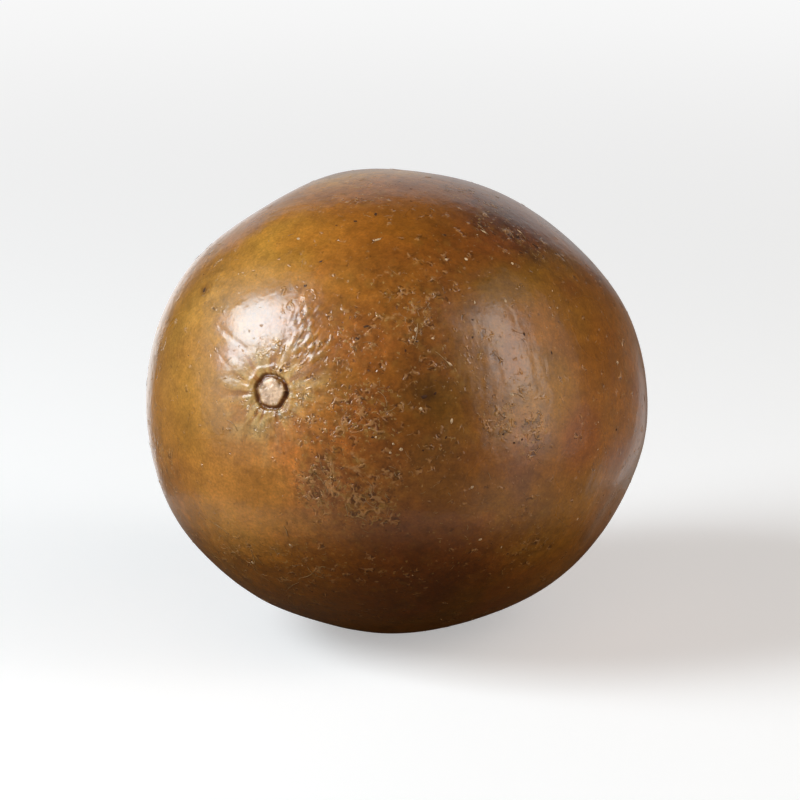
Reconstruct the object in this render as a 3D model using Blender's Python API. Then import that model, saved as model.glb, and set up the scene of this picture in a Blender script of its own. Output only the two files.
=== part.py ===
"""A dried monk fruit that lies on its side, on the small flat spot where it was pressed as it dried.

The fruit is one grown body, so it is one solid. Its surface is worked out on rings round the axis that runs
from the cut stalk to the scar of the flower. The rings lie close together at both ends, where the relief is
fine, and further apart over the girth. +X is across the fruit and +Z is up. The stalk end faces -Y and is
raised a little. The origin is at the bottom, under the middle of the fruit's box.
"""
import math

import bmesh
import bpy
from mathutils import Matrix, Vector

# Lengths are in millimetres and angles in degrees, unless a name says otherwise
METRES = 0.001

# Body: the fullness is the exponent of its outline, where 2 is an ellipse and more has fuller shoulders
HALF_LENGTH = 32.6
HALF_WIDTH = 29.0
HALF_HEIGHT = 27.7
FULLNESS = 2.11
LOBES = 3
LOBE_SWELL = 0.4
LOBE_TURN = -2.0

# Broad uneven places: longitude round the axis, latitude towards the stalk, height, and spread.
# The last one is a belly under the fruit's weight, where it rests.
UNEVEN_PLACES = (
    (130.0, 22.0, -1.4, 20.0),
    (-24.0, -18.0, -1.2, 13.0),
    (55.0, -38.0, -0.9, 18.0),
    (165.0, -30.0, -0.7, 16.0),
    (-90.0, -6.0, 0.8, 16.0),
)

# How it lies, and how deep its lowest point is pressed flat
STALK_TILT = 15.0
REST_DEPTH = 0.5
RIM_SNAP = 0.25

# Faint ribs from end to end, which swerve a little
RIBS = 10
RIB_HEIGHT = 0.08
RIB_SWERVE = 0.6

# Stalk end: a flush disc of cut stalk, a groove round it, a lip, and creases that draw the skin together
STALK_RADIUS = 1.7
STALK_GROOVE_WIDTH = 0.6
STALK_GROOVE_DEPTH = 0.35
STALK_LIP_WIDTH = 1.2
STALK_LIP_HEIGHT = 0.12
STALK_HOLLOW_DEPTH = 0.4
STALK_HOLLOW_REACH = 5.0
STALK_CREASES = 13
STALK_CREASE_DEPTH = 0.16
STALK_CREASE_REACH = 8.5

# Flower end: a small nub in a shallow puckered hollow
FLOWER_NUB_RADIUS = 1.2
FLOWER_NUB_HEIGHT = 0.45
FLOWER_HOLLOW_DEPTH = 0.7
FLOWER_HOLLOW_REACH = 3.6
FLOWER_CREASES = 11
FLOWER_CREASE_DEPTH = 0.14
FLOWER_CREASE_REACH = 6.5

# Creases at both ends are unevenly spaced and unevenly deep
CREASE_SWERVE = 1.3
CREASE_UNEVENNESS = 0.3

# Mesh: the rings at an end draw apart by a steady factor until they are a girth ring's distance apart
SEGMENTS = 72
GIRTH_RINGS = 24
END_REACH = 12.0
STALK_RING_GROWTH = 1.24
FLOWER_RING_GROWTH = 1.38
FIRST_FLOWER_RING = 0.55


def direction(longitude, latitude):
    """Unit vector in the fruit's own axes: X across it, Y up it, Z towards the stalk."""
    lon = math.radians(longitude)
    lat = math.radians(latitude)
    return Vector((math.cos(lat) * math.cos(lon), math.cos(lat) * math.sin(lon), math.sin(lat)))


PLACES = [(direction(lon, lat), height, math.radians(spread)) for lon, lat, height, spread in UNEVEN_PLACES]


def hump(x, middle, width):
    """A smooth hump of height 1 and the given width, 0 outside it."""
    offset = (x - middle) / (width / 2)
    if abs(offset) >= 1:
        return 0.0
    return 0.5 + 0.5 * math.cos(math.pi * offset)


def creases(turn, reach, count, start, end):
    """Creases round an end of the fruit, from 0 to 1 deep, strongest a quarter of the way out."""
    if not start < reach < end:
        return 0.0
    out = (reach - start) / (end - start)
    fade = math.sin(math.pi * math.sqrt(out)) ** 2
    wave = 0.5 + 0.5 * math.cos(count * turn + CREASE_SWERVE * math.sin(2 * turn))
    strength = 1 - CREASE_UNEVENNESS * (0.5 + 0.5 * math.cos(3 * turn))
    return fade * strength * wave ** 2


def stalk_relief(turn, reach):
    """Height of the skin round the cut stalk."""
    groove_middle = STALK_RADIUS + STALK_GROOVE_WIDTH / 2
    lip_middle = STALK_RADIUS + STALK_GROOVE_WIDTH + STALK_LIP_WIDTH / 2
    height = -STALK_HOLLOW_DEPTH * math.exp(-((reach / STALK_HOLLOW_REACH) ** 2))
    height -= STALK_GROOVE_DEPTH * hump(reach, groove_middle, STALK_GROOVE_WIDTH)
    height += STALK_LIP_HEIGHT * hump(reach, lip_middle, STALK_LIP_WIDTH)
    start = STALK_RADIUS + STALK_GROOVE_WIDTH
    return height - STALK_CREASE_DEPTH * creases(turn, reach, STALK_CREASES, start, STALK_CREASE_REACH)


def flower_relief(turn, reach):
    """Height of the skin round the scar of the flower."""
    height = -FLOWER_HOLLOW_DEPTH * math.exp(-((reach / FLOWER_HOLLOW_REACH) ** 2))
    height += FLOWER_NUB_HEIGHT * hump(reach, 0, 3 * FLOWER_NUB_RADIUS)
    crease = creases(turn, reach, FLOWER_CREASES, FLOWER_NUB_RADIUS, FLOWER_CREASE_REACH)
    return height - FLOWER_CREASE_DEPTH * crease


def skin_radius(turn, polar):
    """Distance from the fruit's middle to its skin. Both angles are in radians, polar from the stalk."""
    toward = Vector((math.sin(polar) * math.cos(turn), math.sin(polar) * math.sin(turn), math.cos(polar)))
    shares = (abs(toward.x) / HALF_WIDTH, abs(toward.y) / HALF_HEIGHT, abs(toward.z) / HALF_LENGTH)
    radius = sum(share ** FULLNESS for share in shares) ** (-1 / FULLNESS)
    girth = math.sin(polar)
    radius += LOBE_SWELL * girth ** 3 * math.cos(LOBES * (turn - math.radians(LOBE_TURN)))
    radius += RIB_HEIGHT * girth ** 2 * math.cos(RIBS * turn + RIB_SWERVE * math.sin(3 * turn))
    for middle, height, spread in PLACES:
        radius += height * math.exp(-((toward.angle(middle) / spread) ** 2))
    radius += stalk_relief(turn, HALF_LENGTH * polar)
    return radius + flower_relief(turn, HALF_LENGTH * (math.pi - polar))


def skin_point(turn, polar):
    """A point of the skin in the fruit's own axes, in metres."""
    radius = skin_radius(turn, polar) * METRES
    across = radius * math.sin(polar)
    return Vector((across * math.cos(turn), across * math.sin(turn), radius * math.cos(polar)))


def growing(reach, growth):
    """Reaches from the given one on, each the same factor further out."""
    reaches = []
    while reach < END_REACH:
        reaches.append(reach)
        reach *= growth
    return reaches


def ring_angles():
    """Polar angles of all rings, from the stalk to the flower scar."""
    groove_end = STALK_RADIUS + STALK_GROOVE_WIDTH
    scar_rings = [STALK_RADIUS / 2, STALK_RADIUS, STALK_RADIUS + STALK_GROOVE_WIDTH / 2, groove_end]
    skin_rings = growing(groove_end + STALK_LIP_WIDTH / 2, STALK_RING_GROWTH)
    stalk = [reach / HALF_LENGTH for reach in scar_rings + skin_rings]
    flower_rings = growing(FIRST_FLOWER_RING, FLOWER_RING_GROWTH)
    flower = [math.pi - reach / HALF_LENGTH for reach in reversed(flower_rings)]
    step = (flower[0] - stalk[-1]) / (GIRTH_RINGS + 1)
    girth = [stalk[-1] + step * (i + 1) for i in range(GIRTH_RINGS)]
    return stalk + girth + flower


def add_skin(bm):
    """The closed skin: a fan at each end and bands of quads between the rings."""
    turns = [2 * math.pi * i / SEGMENTS for i in range(SEGMENTS)]
    rings = [[bm.verts.new(skin_point(turn, polar)) for turn in turns] for polar in ring_angles()]
    stalk_tip = bm.verts.new(skin_point(0, 0))
    flower_tip = bm.verts.new(skin_point(0, math.pi))
    for i in range(SEGMENTS):
        j = (i + 1) % SEGMENTS
        bm.faces.new((stalk_tip, rings[0][i], rings[0][j]))
        bm.faces.new((flower_tip, rings[-1][j], rings[-1][i]))
        for upper, lower in zip(rings, rings[1:]):
            bm.faces.new((upper[i], lower[i], lower[j], upper[j]))


def lay_down(bm):
    """Turns the axis from upright to lying, with the stalk end raised."""
    turn = Matrix.Rotation(math.radians(90 - STALK_TILT), 4, "X")
    bmesh.ops.rotate(bm, verts=bm.verts, cent=(0, 0, 0), matrix=turn)


def press_flat(bm):
    """Cuts the flat spot at the lowest point, closes it, and stands the fruit on it at the origin."""
    level = min(vert.co.z for vert in bm.verts) + REST_DEPTH * METRES
    bmesh.ops.bisect_plane(
        bm,
        geom=bm.verts[:] + bm.edges[:] + bm.faces[:],
        dist=RIM_SNAP * METRES,
        plane_co=(0, 0, level),
        plane_no=(0, 0, -1),
        use_snap_center=True,
        clear_outer=True,
    )
    rim = [edge for edge in bm.edges if edge.is_boundary]
    bmesh.ops.holes_fill(bm, edges=rim, sides=0)
    for edge in rim:
        edge.smooth = False
    middle = [(min(v.co[axis] for v in bm.verts) + max(v.co[axis] for v in bm.verts)) / 2 for axis in (0, 1)]
    bmesh.ops.translate(bm, verts=bm.verts, vec=(-middle[0], -middle[1], -level))


def rind_material():
    """Satin brown rind."""
    material = bpy.data.materials.new("rind")
    material.use_nodes = True
    shader = material.node_tree.nodes["Principled BSDF"]
    shader.inputs["Base Color"].default_value = (0.25, 0.11, 0.025, 1.0)
    shader.inputs["Roughness"].default_value = 0.38
    shader.inputs["Metallic"].default_value = 0.0
    return material


def monk_fruit():
    bm = bmesh.new()
    add_skin(bm)
    lay_down(bm)
    press_flat(bm)
    bmesh.ops.recalc_face_normals(bm, faces=bm.faces)
    mesh = bpy.data.meshes.new("monk_fruit")
    bm.to_mesh(mesh)
    bm.free()
    mesh.shade_smooth()
    mesh.set_sharp_from_angle(angle=math.radians(50))
    mesh.materials.append(rind_material())
    fruit = bpy.data.objects.new("monk_fruit", mesh)
    bpy.context.scene.collection.objects.link(fruit)


for old in list(bpy.data.objects):
    bpy.data.objects.remove(old, do_unlink=True)
monk_fruit()
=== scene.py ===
"""The looks of a dried monk fruit: its satin rind and markings, the scars at both ends, and hairs."""
import math
import random

import bmesh
import bpy
import numpy as np
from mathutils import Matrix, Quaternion, Vector, noise
from mathutils.bvhtree import BVHTree


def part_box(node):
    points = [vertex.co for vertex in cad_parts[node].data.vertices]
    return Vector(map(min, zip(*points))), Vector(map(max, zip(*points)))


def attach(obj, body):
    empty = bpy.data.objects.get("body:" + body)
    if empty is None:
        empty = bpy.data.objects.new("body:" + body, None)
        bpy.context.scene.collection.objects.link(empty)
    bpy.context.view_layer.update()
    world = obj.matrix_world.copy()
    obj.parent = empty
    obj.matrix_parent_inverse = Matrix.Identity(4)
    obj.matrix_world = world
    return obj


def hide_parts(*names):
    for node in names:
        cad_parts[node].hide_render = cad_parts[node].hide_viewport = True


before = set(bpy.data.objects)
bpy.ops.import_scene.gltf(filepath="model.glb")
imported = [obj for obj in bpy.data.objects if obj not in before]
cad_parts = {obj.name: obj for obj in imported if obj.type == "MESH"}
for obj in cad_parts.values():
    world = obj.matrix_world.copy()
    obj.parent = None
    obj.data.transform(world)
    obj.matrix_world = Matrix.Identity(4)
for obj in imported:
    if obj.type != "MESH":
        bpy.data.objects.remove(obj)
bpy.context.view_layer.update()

# Lengths are in millimetres and angles in degrees, unless a name says otherwise
METRES = 0.001

# The solid's own sizes, so that the fine skin has the same form. Creases are given by how many there are,
# and the distances from the end's tip where they start and end.
HALF_LENGTH = 32.6
HALF_WIDTH = 29.0
HALF_HEIGHT = 27.7
FULLNESS = 2.11
LOBES = 3
LOBE_SWELL = 0.4
LOBE_TURN = -2.0
UNEVEN_PLACES = (
    (130.0, 22.0, -1.4, 20.0),
    (-24.0, -18.0, -1.2, 13.0),
    (55.0, -38.0, -0.9, 18.0),
    (165.0, -30.0, -0.7, 16.0),
    (-90.0, -6.0, 0.8, 16.0),
)
STALK_TILT = 15.0
REST_DEPTH = 0.5
RIBS = 10
RIB_HEIGHT = 0.08
RIB_SWERVE = 0.6
STALK_RADIUS = 1.7
STALK_GROOVE_WIDTH = 0.6
GROOVE_END = STALK_RADIUS + STALK_GROOVE_WIDTH
STALK_GROOVE_DEPTH = 0.35
STALK_LIP_WIDTH = 1.2
STALK_LIP_HEIGHT = 0.12
STALK_HOLLOW_DEPTH = 0.4
STALK_HOLLOW_REACH = 5.0
STALK_CREASES = (13, GROOVE_END, 8.5)
STALK_CREASE_DEPTH = 0.16
FLOWER_NUB_RADIUS = 1.2
FLOWER_NUB_HEIGHT = 0.45
FLOWER_HOLLOW_DEPTH = 0.7
FLOWER_HOLLOW_REACH = 3.6
FLOWER_CREASES = (11, FLOWER_NUB_RADIUS, 6.5)
FLOWER_CREASE_DEPTH = 0.14
CREASE_SWERVE = 1.3
CREASE_UNEVENNESS = 0.3

# How high the fruit's middle is, a distance well outside it, and how low a scattered mark or hair may lie
MIDDLE_HEIGHT = 28.0
OUTSIDE = 40.0
LOWEST_MARK = 0.3

# What the fine skin adds: heights of its waves, crumples, wrinkles, lumps and streaks
WAVE_HEIGHT = 0.05
CRUMPLE_HEIGHT = 0.022
WRINKLE_HEIGHT = 0.004
LUMP_HEIGHT = 0.075
LUMP_LEVEL = 0.6
STREAK_HEIGHT = 0.022
STREAK_PITCH = 4.2

# Shares of the solid's creases that the fine skin fills, and of its lip that it takes away
STALK_CREASE_FILL = 0.8
FLOWER_CREASE_FILL = 0.6
STALK_LIP_CUT = 0.6

# The cut stalk: how ragged its edge is, how uneven the cut is and how far it swells, and its hollow pith
EDGE_RAGGEDNESS = 0.20
CUT_UNEVENNESS = 0.05
STALK_DOME = 0.12
PITH_DEPTH = 0.25
PITH_RADIUS = 0.28
PITH_DARK_RADIUS = 0.36

# Camera, and how large and where the photograph shows the fruit
CAMERA_AZIMUTH = 27.5
CAMERA_ELEVATION = 15.0
CAMERA_DISTANCE = 550.0
CAMERA_LENS = 205.0
PHOTO_MIDDLE = (430.0, 194.0)
PHOTO_SCALE = 0.265

# Studio floor and backdrop
FLOOR_RADIUS = 3000.0
BACKDROP = (0.94, 0.94, 0.94)
FLOOR = (0.82, 0.775, 0.745)
FLOOR_GLOW = 0.39
FLOOR_FAR_GLOW = 0.94
FLOOR_FADE = (75.0, 480.0)
GROUND = (0.60, 0.47, 0.38)
SHADED_GROUND = (0.05, 0.03, 0.015)
GROUND_SHADE = (31.0, 53.0)
GROUND_RADIUS = 54.0
GROUND_DROP = 0.1

# The dim room that the fruit sees, and the heights between which its light changes, from -1 to 1
CEILING_LIGHT = (0.01, 0.01, 0.01)
CEILING_HEIGHTS = (0.5, 0.95)
ROOM_LIGHT = (0.05, 0.042, 0.036)
LOW_LIGHT = (0.18, 0.14, 0.11)
LOW_HEIGHTS = (0.05, -0.10)

# Bright places in the room: azimuth, elevation, the angles from its middle where the light begins and
# where it is full, and its colour
GLOWS = (
    (160, -30, 16, 5, (0.34, 0.32, 0.30)),
    (181, -18, 12, 4, (0.50, 0.49, 0.48)),
    (211, 13, 30, 20, (0.48, 0.48, 0.49)),
    (222, -10, 14, 4, (1.30, 1.30, 1.30)),
    (-42, 2, 30, 8, (0.76, 0.72, 0.66)),
    (98, -32, 26, 8, (0.36, 0.34, 0.32)),
)

# Softboxes: name, azimuth, elevation, width and height as angles seen from the fruit, roll, radiance,
# colour, and distance
WHITE = (1.0, 1.0, 1.0)
COOL = (0.81, 0.94, 1.03)
WARM = (1.0, 0.86, 0.72)
LIGHTS = (
    ("key_softbox", -46.8, 32.3, 30, 29, -48, 8.8, COOL, 600),
    ("key_middle", -43, 36.5, 24, 26, -48, 3.8, COOL, 650),
    ("key_glow", -52, 28, 64, 60, -48, 0.45, WHITE, 700),
    ("fill_softbox", 100, 27, 16, 33, -7, 1.9, WHITE, 600),
    ("fill_glow", 97.5, 18, 29, 62, -7, 0.9, WHITE, 650),
    ("fill_haze", 105, 18, 58, 76, -7, 0.35, WHITE, 700),
    ("soft_fill", 62, 42, 70, 58, 0, 0.42, WARM, 800),
)

# Fine mesh: rings draw apart from each end until they are a girth ring's distance apart
SEGMENTS = 400
STALK_RINGS = 62
GIRTH_RINGS = 150
FLOWER_RINGS = 34
END_REACH = 12.0
RING_GROWTH = 1.03

# Small marks and hairs that lie on the skin
MARK_CORNERS = 11
MARK_SHRINK = 0.75
MARK_ROOT = 0.03
SCAB_HEIGHT = 0.012
SCAB_SEED = 3
SPECK_HEIGHT = 0.05
SPECK_SEED = 5
HAIR_SEED = 11
HAIR_POINTS = 6
HAIR_LENGTHS = (0.4, 1.2)
HAIR_THICKNESSES = (0.018, 0.03)
HAIR_BEND = 1.2
HAIR_LIFT = 0.12
FIBRE_POINTS = 8
FIBRE_THICKNESSES = (0.035, 0.05)
SHARP_FOLD = 130.0
SCAB_COLOUR = (0.070, 0.024, 0.006)
SPECK_COLOUR = (0.72, 0.49, 0.27)
HAIR_COLOUR = (0.42, 0.24, 0.09)

# Colours of the rind, linear, from the least to the most roasted
ROAST_STEPS = (
    (0.72, 0.330, 0.060),
    (0.54, 0.230, 0.032),
    (0.38, 0.132, 0.012),
    (0.225, 0.069, 0.007),
    (0.11, 0.030, 0.003),
    (0.06, 0.015, 0.002),
)
OLIVE = (0.22, 0.105, 0.010)
AMBER = (0.30, 0.090, 0.010)
RUSSET = (0.27, 0.066, 0.014)
ROSE = (0.42, 0.170, 0.080)
STRAW = (0.55, 0.320, 0.090)
TAN = (0.46, 0.23, 0.040)
GOLD = (0.52, 0.250, 0.050)
FLESH = (0.62, 0.31, 0.11)
PALE = (0.66, 0.41, 0.14)
UMBER = (0.030, 0.010, 0.003)
DARK_RING = (0.170, 0.046, 0.008)
CUT_WOOD = (1.00, 0.65, 0.41)

# Broad patches of the rind, by photograph pixel: x, y, spread in pixels, and change of roast. A few are
# painted light, as noted in the table
ROAST_BASE = 2.2
ROAST_AND_PAINTED_LIGHT_PATCHES = (
    (330, 190, 34, -0.75), (352, 238, 24, -1.15), (360, 252, 18, -0.4), (372, 122, 30, -1.15),
    (366, 138, 13, -0.4), (388, 120, 12, -0.3), (372, 190, 22, -0.8), (372, 210, 12, -0.3),
    (392, 206, 18, -0.3), (402, 162, 24, -0.9), (412, 200, 22, -0.45), (388, 206, 20, -0.9),
    (384, 228, 18, -0.6), (376, 245, 18, -0.6), (384, 124, 30, -0.4), (338, 160, 20, -1.5),
    (340, 205, 28, -0.4), (496, 172, 24, -0.25), (462, 246, 22, -0.2), (395, 242, 18, -0.5),
    # Partly the rind's lighter colour and partly painted rim reflection: (430, 90) and (403, 93) lighten the
    # top rim
    (430, 90, 16, -2), (403, 93, 16, -2), (452, 119, 14, 0.5), (392, 190, 12, -0.3),
    (425, 116, 20, -0.2), (481, 114, 26, 2), (436, 150, 24, 0.15), (402, 146, 12, -0.6),
    (478, 137, 12, 0.5), (388, 190, 12, -0.3), (445, 146, 14, 0.4), (445, 180, 12, 0.4),
    (414, 152, 10, 0.4), (376, 214, 14, -0.5), (391, 180, 10, -0.5), (392, 214, 14, -0.3),
    (340, 153, 14, -0.6), (492, 244, 16, 0.4), (492, 141, 12, 0.4), (512, 203, 16, 0.4),
    (436, 240, 14, -0.4), (505, 162, 14, 0.4), (510, 124, 13, 1), (430, 256, 10, 0.4),
    (341, 144, 3, 2.2), (443, 192, 4, 1), (489, 127, 5, 1), (467, 116, 4, 0.8), (491, 212, 9, -0.9),
    (482, 227, 14, 0.8), (503, 149, 20, -0.8), (486, 208, 14, -0.5), (474, 238, 12, -0.4),
    (436, 196, 28, 0.75), (488, 148, 14, -0.3), (478, 206, 15, -0.7), (478, 172, 22, -0.35),
    (480, 238, 16, -0.6), (503, 192, 20, -0.5), (518, 236, 16, -0.7), (508, 222, 24, -0.2),
    # Painted shade: (444, 271) and (446, 286) darken the underside, where the fruit rests
    (440, 240, 30, 0.2), (444, 271, 40, 1.2), (446, 286, 34, 0.6),
)
# Patches of another hue: x, y, half width, half height in pixels, colour, and share
HUE_PATCHES = (
    (344, 160, 26, 36, GOLD, 0.3), (368, 230, 36, 18, RUSSET, 0.25),
    (412, 128, 18, 12, RUSSET, 0.3), (482, 142, 14, 9, OLIVE, 0.6), (484, 248, 30, 16, OLIVE, 0.35),
    (425, 236, 34, 20, ROSE, 0.12), (363, 115, 6, 5, ROSE, 0.5), (354, 122, 6, 5, ROSE, 0.5),
    (485, 224, 6, 14, ROSE, 0.35), (353, 174, 7, 6, ROSE, 0.5), (350, 160, 5, 5, ROSE, 0.35),
    (491, 208, 8, 10, ROSE, 0.4), (466, 166, 13, 30, OLIVE, 0.4), (392, 224, 16, 18, RUSSET, 0.3),
    (395, 232, 8, 14, ROSE, 0.3), (415, 165, 14, 12, RUSSET, 0.5), (475, 118, 20, 10, RUSSET, 0.6),
    (415, 203, 14, 16, RUSSET, 0.5), (513, 212, 9, 12, RUSSET, 0.4),
    (447, 264, 22, 20, RUSSET, 0.4), (382, 120, 24, 9, OLIVE, 0.3), (395, 150, 14, 12, OLIVE, 0.15),
    (496, 190, 12, 16, OLIVE, 0.4), (500, 132, 16, 7, OLIVE, 0.4), (444, 203, 14, 16, OLIVE, 0.5),
    (420, 112, 38, 20, AMBER, 0.55), (412, 160, 34, 20, AMBER, 0.6), (412, 208, 30, 20, AMBER, 0.6),
    (440, 262, 50, 18, AMBER, 0.3),
)
# Where the rind is scurfy, smooth, rippled and lumpy: x, y and spread in pixels, and amount
SCURF_BASE = 0.35
SCURF_PATCHES = (
    (437, 152, 20, 0.9), (395, 232, 16, 1.6), (416, 240, 15, 1.6), (405, 222, 16, 0.9),
    (476, 203, 11, 1.3), (490, 209, 11, 1.4), (486, 190, 11, 0.8), (410, 170, 24, 0.9),
    (414, 198, 20, 1.2), (398, 210, 22, 1), (425, 228, 16, 0.8), (452, 215, 16, 0.6),
    (486, 262, 20, 0.6), (385, 150, 12, 0.8), (372, 208, 14, 0.4), (360, 265, 20, 0.8),
    (385, 282, 16, 0.7), (467, 114, 9, 0.9), (480, 119, 10, 1), (492, 128, 10, 0.8),
)
SMOOTH_PATCHES = (
    (330, 180, 24, 1), (345, 232, 18, 1), (375, 118, 22, 0.9), (362, 156, 12, 0.9),
    (515, 160, 20, 0.6), (512, 225, 20, 0.7), (470, 240, 18, 0.5),
)
RIPPLE_PATCHES = (
    (480, 178, 34, 1), (500, 120, 22, 0.5),
)
LUMP_PATCHES = (
    (389, 156, 8, 1), (389, 170, 9, 1), (384, 143, 5, 0.7), (394, 200, 16, 0.45),
    (372, 208, 16, 0.25), (402, 172, 14, 0.4), (402, 234, 21, 0.62), (436, 150, 18, 0.35),
    (350, 262, 14, 0.4), (474, 116, 9, 0.3), (486, 123, 9, 0.3), (484, 207, 15, 0.6),
)
# Patches that the photograph doesn't show: azimuth, elevation, spread in millimetres, and amount
FAR_ROAST = (
    (222, 42, 11, -1), (252, 6, 9, 0.9), (196, 18, 10, -0.8), (158, 2, 9, 0.9), (214, -24, 10, 0.7),
    (288, 26, 9, -0.8), (272, -18, 9, -0.8), (140, 40, 9, -0.6), (236, 24, 4, 0.6),
    (182, 44, 5, 0.7),
)
FAR_SCURF = (
    (238, 20, 6, 1.5), (200, 38, 7, 1.2), (266, 34, 5, 1.4), (164, 14, 6, 1.4), (284, -6, 6, 1.2),
    (212, -12, 6, 1.2),
)
FAR_LUMPS = (
    (243, 24, 3.5, 0.8), (262, 38, 3, 0.5), (190, -2, 4, 0.4), (168, 20, 3.5, 0.5),
)
# Hairs: x, y and spread in pixels, and how many
HAIR_PATCHES = (
    (437, 163, 8, 16), (421, 196, 8, 16), (416, 240, 10, 34), (395, 232, 9, 30), (350, 256, 9, 18),
    (362, 268, 8, 18), (390, 272, 10, 26), (378, 285, 8, 16), (452, 180, 10, 10),
    (480, 206, 12, 24), (436, 228, 14, 24), (388, 165, 11, 22), (368, 207, 14, 24),
    (434, 150, 14, 20),
)
LONE_HAIRS = 300
# Stiffer fibres, by pixel: from x and y to x and y, and how far their middle sags to the left
FIBRES = (
    (386, 158, 391, 169, 1), (386, 163, 382, 170, -0.5), (413, 168, 420, 170, 1.2),
    (417, 123, 422, 120, 0.3), (345, 250, 352, 255, 0.6), (394, 222, 396, 228, -0.6),
    (392, 228, 397, 236, 0.8), (393, 240, 398, 242, 0.8), (415, 231, 416, 237, 1.6),
    (414, 238, 420, 243, -1.4), (410, 247, 415, 249, 0.6), (405, 241, 406, 247, 0.4),
    (384, 275, 392, 270, -1.6), (388, 270, 396, 275, -1.8), (378, 281, 384, 277, 0.6),
    (379, 284, 384, 290, 0.6), (362, 262, 364, 269, 0.8), (377, 251, 379, 256, 0.4),
    (465, 114, 470, 119, 0.4), (483, 116, 487, 121, 0.6), (446, 172, 453, 179, 0.4),
    (438, 159, 436, 169, 0.5), (420, 190, 424, 197, 1.2), (423, 199, 428, 197, -0.8),
    (480, 191, 486, 193, 0.7), (351, 203, 356, 208, 1),
)
# Faint pale lines, by pixel: from x and y to x and y, width in pixels, and share of the pale colour. The
# lines that start at (474, 138), (464, 157), (480, 150) and (487, 165) are painted highlight streaks inside
# the side highlight
PALE_LINES_AND_HIGHLIGHT_STREAKS = (
    (445, 171, 456, 183, 1.2, 0.40), (456, 183, 463, 193, 1.4, 0.30),
    (463, 193, 470, 204, 1.6, 0.20), (474, 138, 477, 162, 1.6, 0.20),
    (464, 157, 467, 175, 1.6, 0.18), (480, 150, 485, 172, 1.8, 0.18),
    (487, 165, 490, 190, 1.6, 0.15), (494, 196, 489, 214, 1.8, 0.30),
    (453, 201, 450, 213, 1.4, 0.25), (484, 188, 492, 200, 2.4, 0.25),
)
# The hollow pith in the cut stalk, by pixel
PITH = (375.5, 186.5)
# Gentle swells, by pixel: x, y and spread in pixels, and height in millimetres
SWELLS = ((357, 172, 5, -0.03),)
# Fine creases, by pixel: from x and y to x and y, width in pixels, and depth in millimetres
FOLDS = (
    (348, 161, 360, 171, 2.4, 0.045), (343, 166, 350, 176, 1.6, 0.020),
    (360, 163, 372, 168, 1.4, 0.012), (379, 146, 381, 152, 1.4, 0.020),
    (371, 160, 374, 170, 1.4, 0.012),
)
# Dark scabs, by pixel: x, y, half length and half width in pixels, and turn from the horizontal
SCABS = (
    (341, 144, 2.6, 1.6, 110), (394, 131, 1.6, 1, 20), (387, 142, 1.5, 1.1, 0),
    (491.5, 124, 4.2, 1.3, -35), (485, 127, 2, 1.1, 5), (467, 114.5, 4.5, 0.9, -48),
    (472.5, 118.5, 1.8, 0.9, -30), (419, 109.5, 1.2, 2.4, 0), (441, 192.5, 2.8, 1.6, 10),
    (446, 191, 1.6, 1, 40), (437.5, 167.5, 1, 0.8, 0), (432.5, 171.5, 0.9, 1.3, 0),
    (435, 98, 1.3, 0.8, 0), (435, 103.5, 1.3, 0.8, 0), (463, 157.5, 1, 0.9, 0),
    (463, 165.5, 1, 1, 0), (486.5, 164, 1.1, 1.6, 0), (417.5, 211, 1.3, 0.8, 0),
    (477, 209.5, 1.2, 0.9, 30), (482, 213.5, 1.3, 1, -20), (485.5, 211.5, 0.9, 1.8, 15),
    (486, 262, 1.6, 0.8, 25), (479, 264, 1.4, 0.9, 0), (440.5, 217, 1, 0.8, 0),
    (451, 211, 1.5, 0.8, 60), (499, 172.5, 0.9, 1.8, 10), (414.5, 160.5, 2.6, 0.9, 15),
    (410.5, 166, 2.2, 0.9, -35),
)
# Pale specks, by pixel, given as the scabs are
SPECKS = (
    (460, 130, 1.3, 1.2, 0), (481, 132, 1.3, 1.1, 0), (451, 130, 1.1, 0.9, 0),
    (529, 177, 1.3, 1.3, 0), (439.5, 198, 1.3, 1.2, 0), (430.5, 216.5, 1.4, 1.2, 0),
    (427, 214, 0.9, 0.8, 0), (425.5, 218, 0.9, 0.9, 0), (419, 211, 0.8, 0.9, 0),
    (466.5, 257.5, 1.4, 1, 0), (437.2, 162, 0.8, 1.9, -12), (436, 165.5, 0.7, 1.2, -12),
    (420, 121, 2.4, 0.9, 35), (468, 117.5, 2.6, 0.7, -50), (484.5, 117.5, 2.2, 0.8, -50),
    (453.5, 203.5, 0.9, 1.8, -10), (452.5, 177.5, 2.2, 0.8, -35), (361, 197, 1.6, 1.2, 30),
    (366, 199, 1.2, 1, 0), (378, 202, 1, 0.9, 0), (381.5, 186, 1, 1.6, 0), (383, 196, 0.9, 1.4, 20),
    (388.5, 161.5, 1.2, 2, 15), (385, 167, 2.2, 1.1, 25), (380, 260, 1.2, 1, 0),
    (363, 268, 1, 1.8, 20), (445, 166, 1, 0.8, 0), (464, 149.5, 0.8, 1.1, 0), (478, 149, 1, 1.2, 0),
    (481, 191.5, 2, 1, 0),
)
# How many more lie all round the fruit
LONE_SPECKS = 50
LONE_SCABS = 90


def direction(longitude, latitude):
    """Unit vector in the fruit's own axes: across it, up it, and towards the stalk."""
    lon = math.radians(longitude)
    lat = math.radians(latitude)
    return np.array((math.cos(lat) * math.cos(lon), math.cos(lat) * math.sin(lon), math.sin(lat)))


def from_place(azimuth, elevation):
    """Unit vector from the fruit to a place round it. Azimuth 0 is in front, at -Y, and 90 is at +X."""
    a = math.radians(azimuth)
    e = math.radians(elevation)
    return np.array((math.sin(a) * math.cos(e), -math.cos(a) * math.cos(e), math.sin(e)))


def smoothstep(x, low, high):
    """0 up to low, 1 from high on, and smooth between them."""
    t = np.clip((x - low) / (high - low), 0, 1)
    return t * t * (3 - 2 * t)


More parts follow.
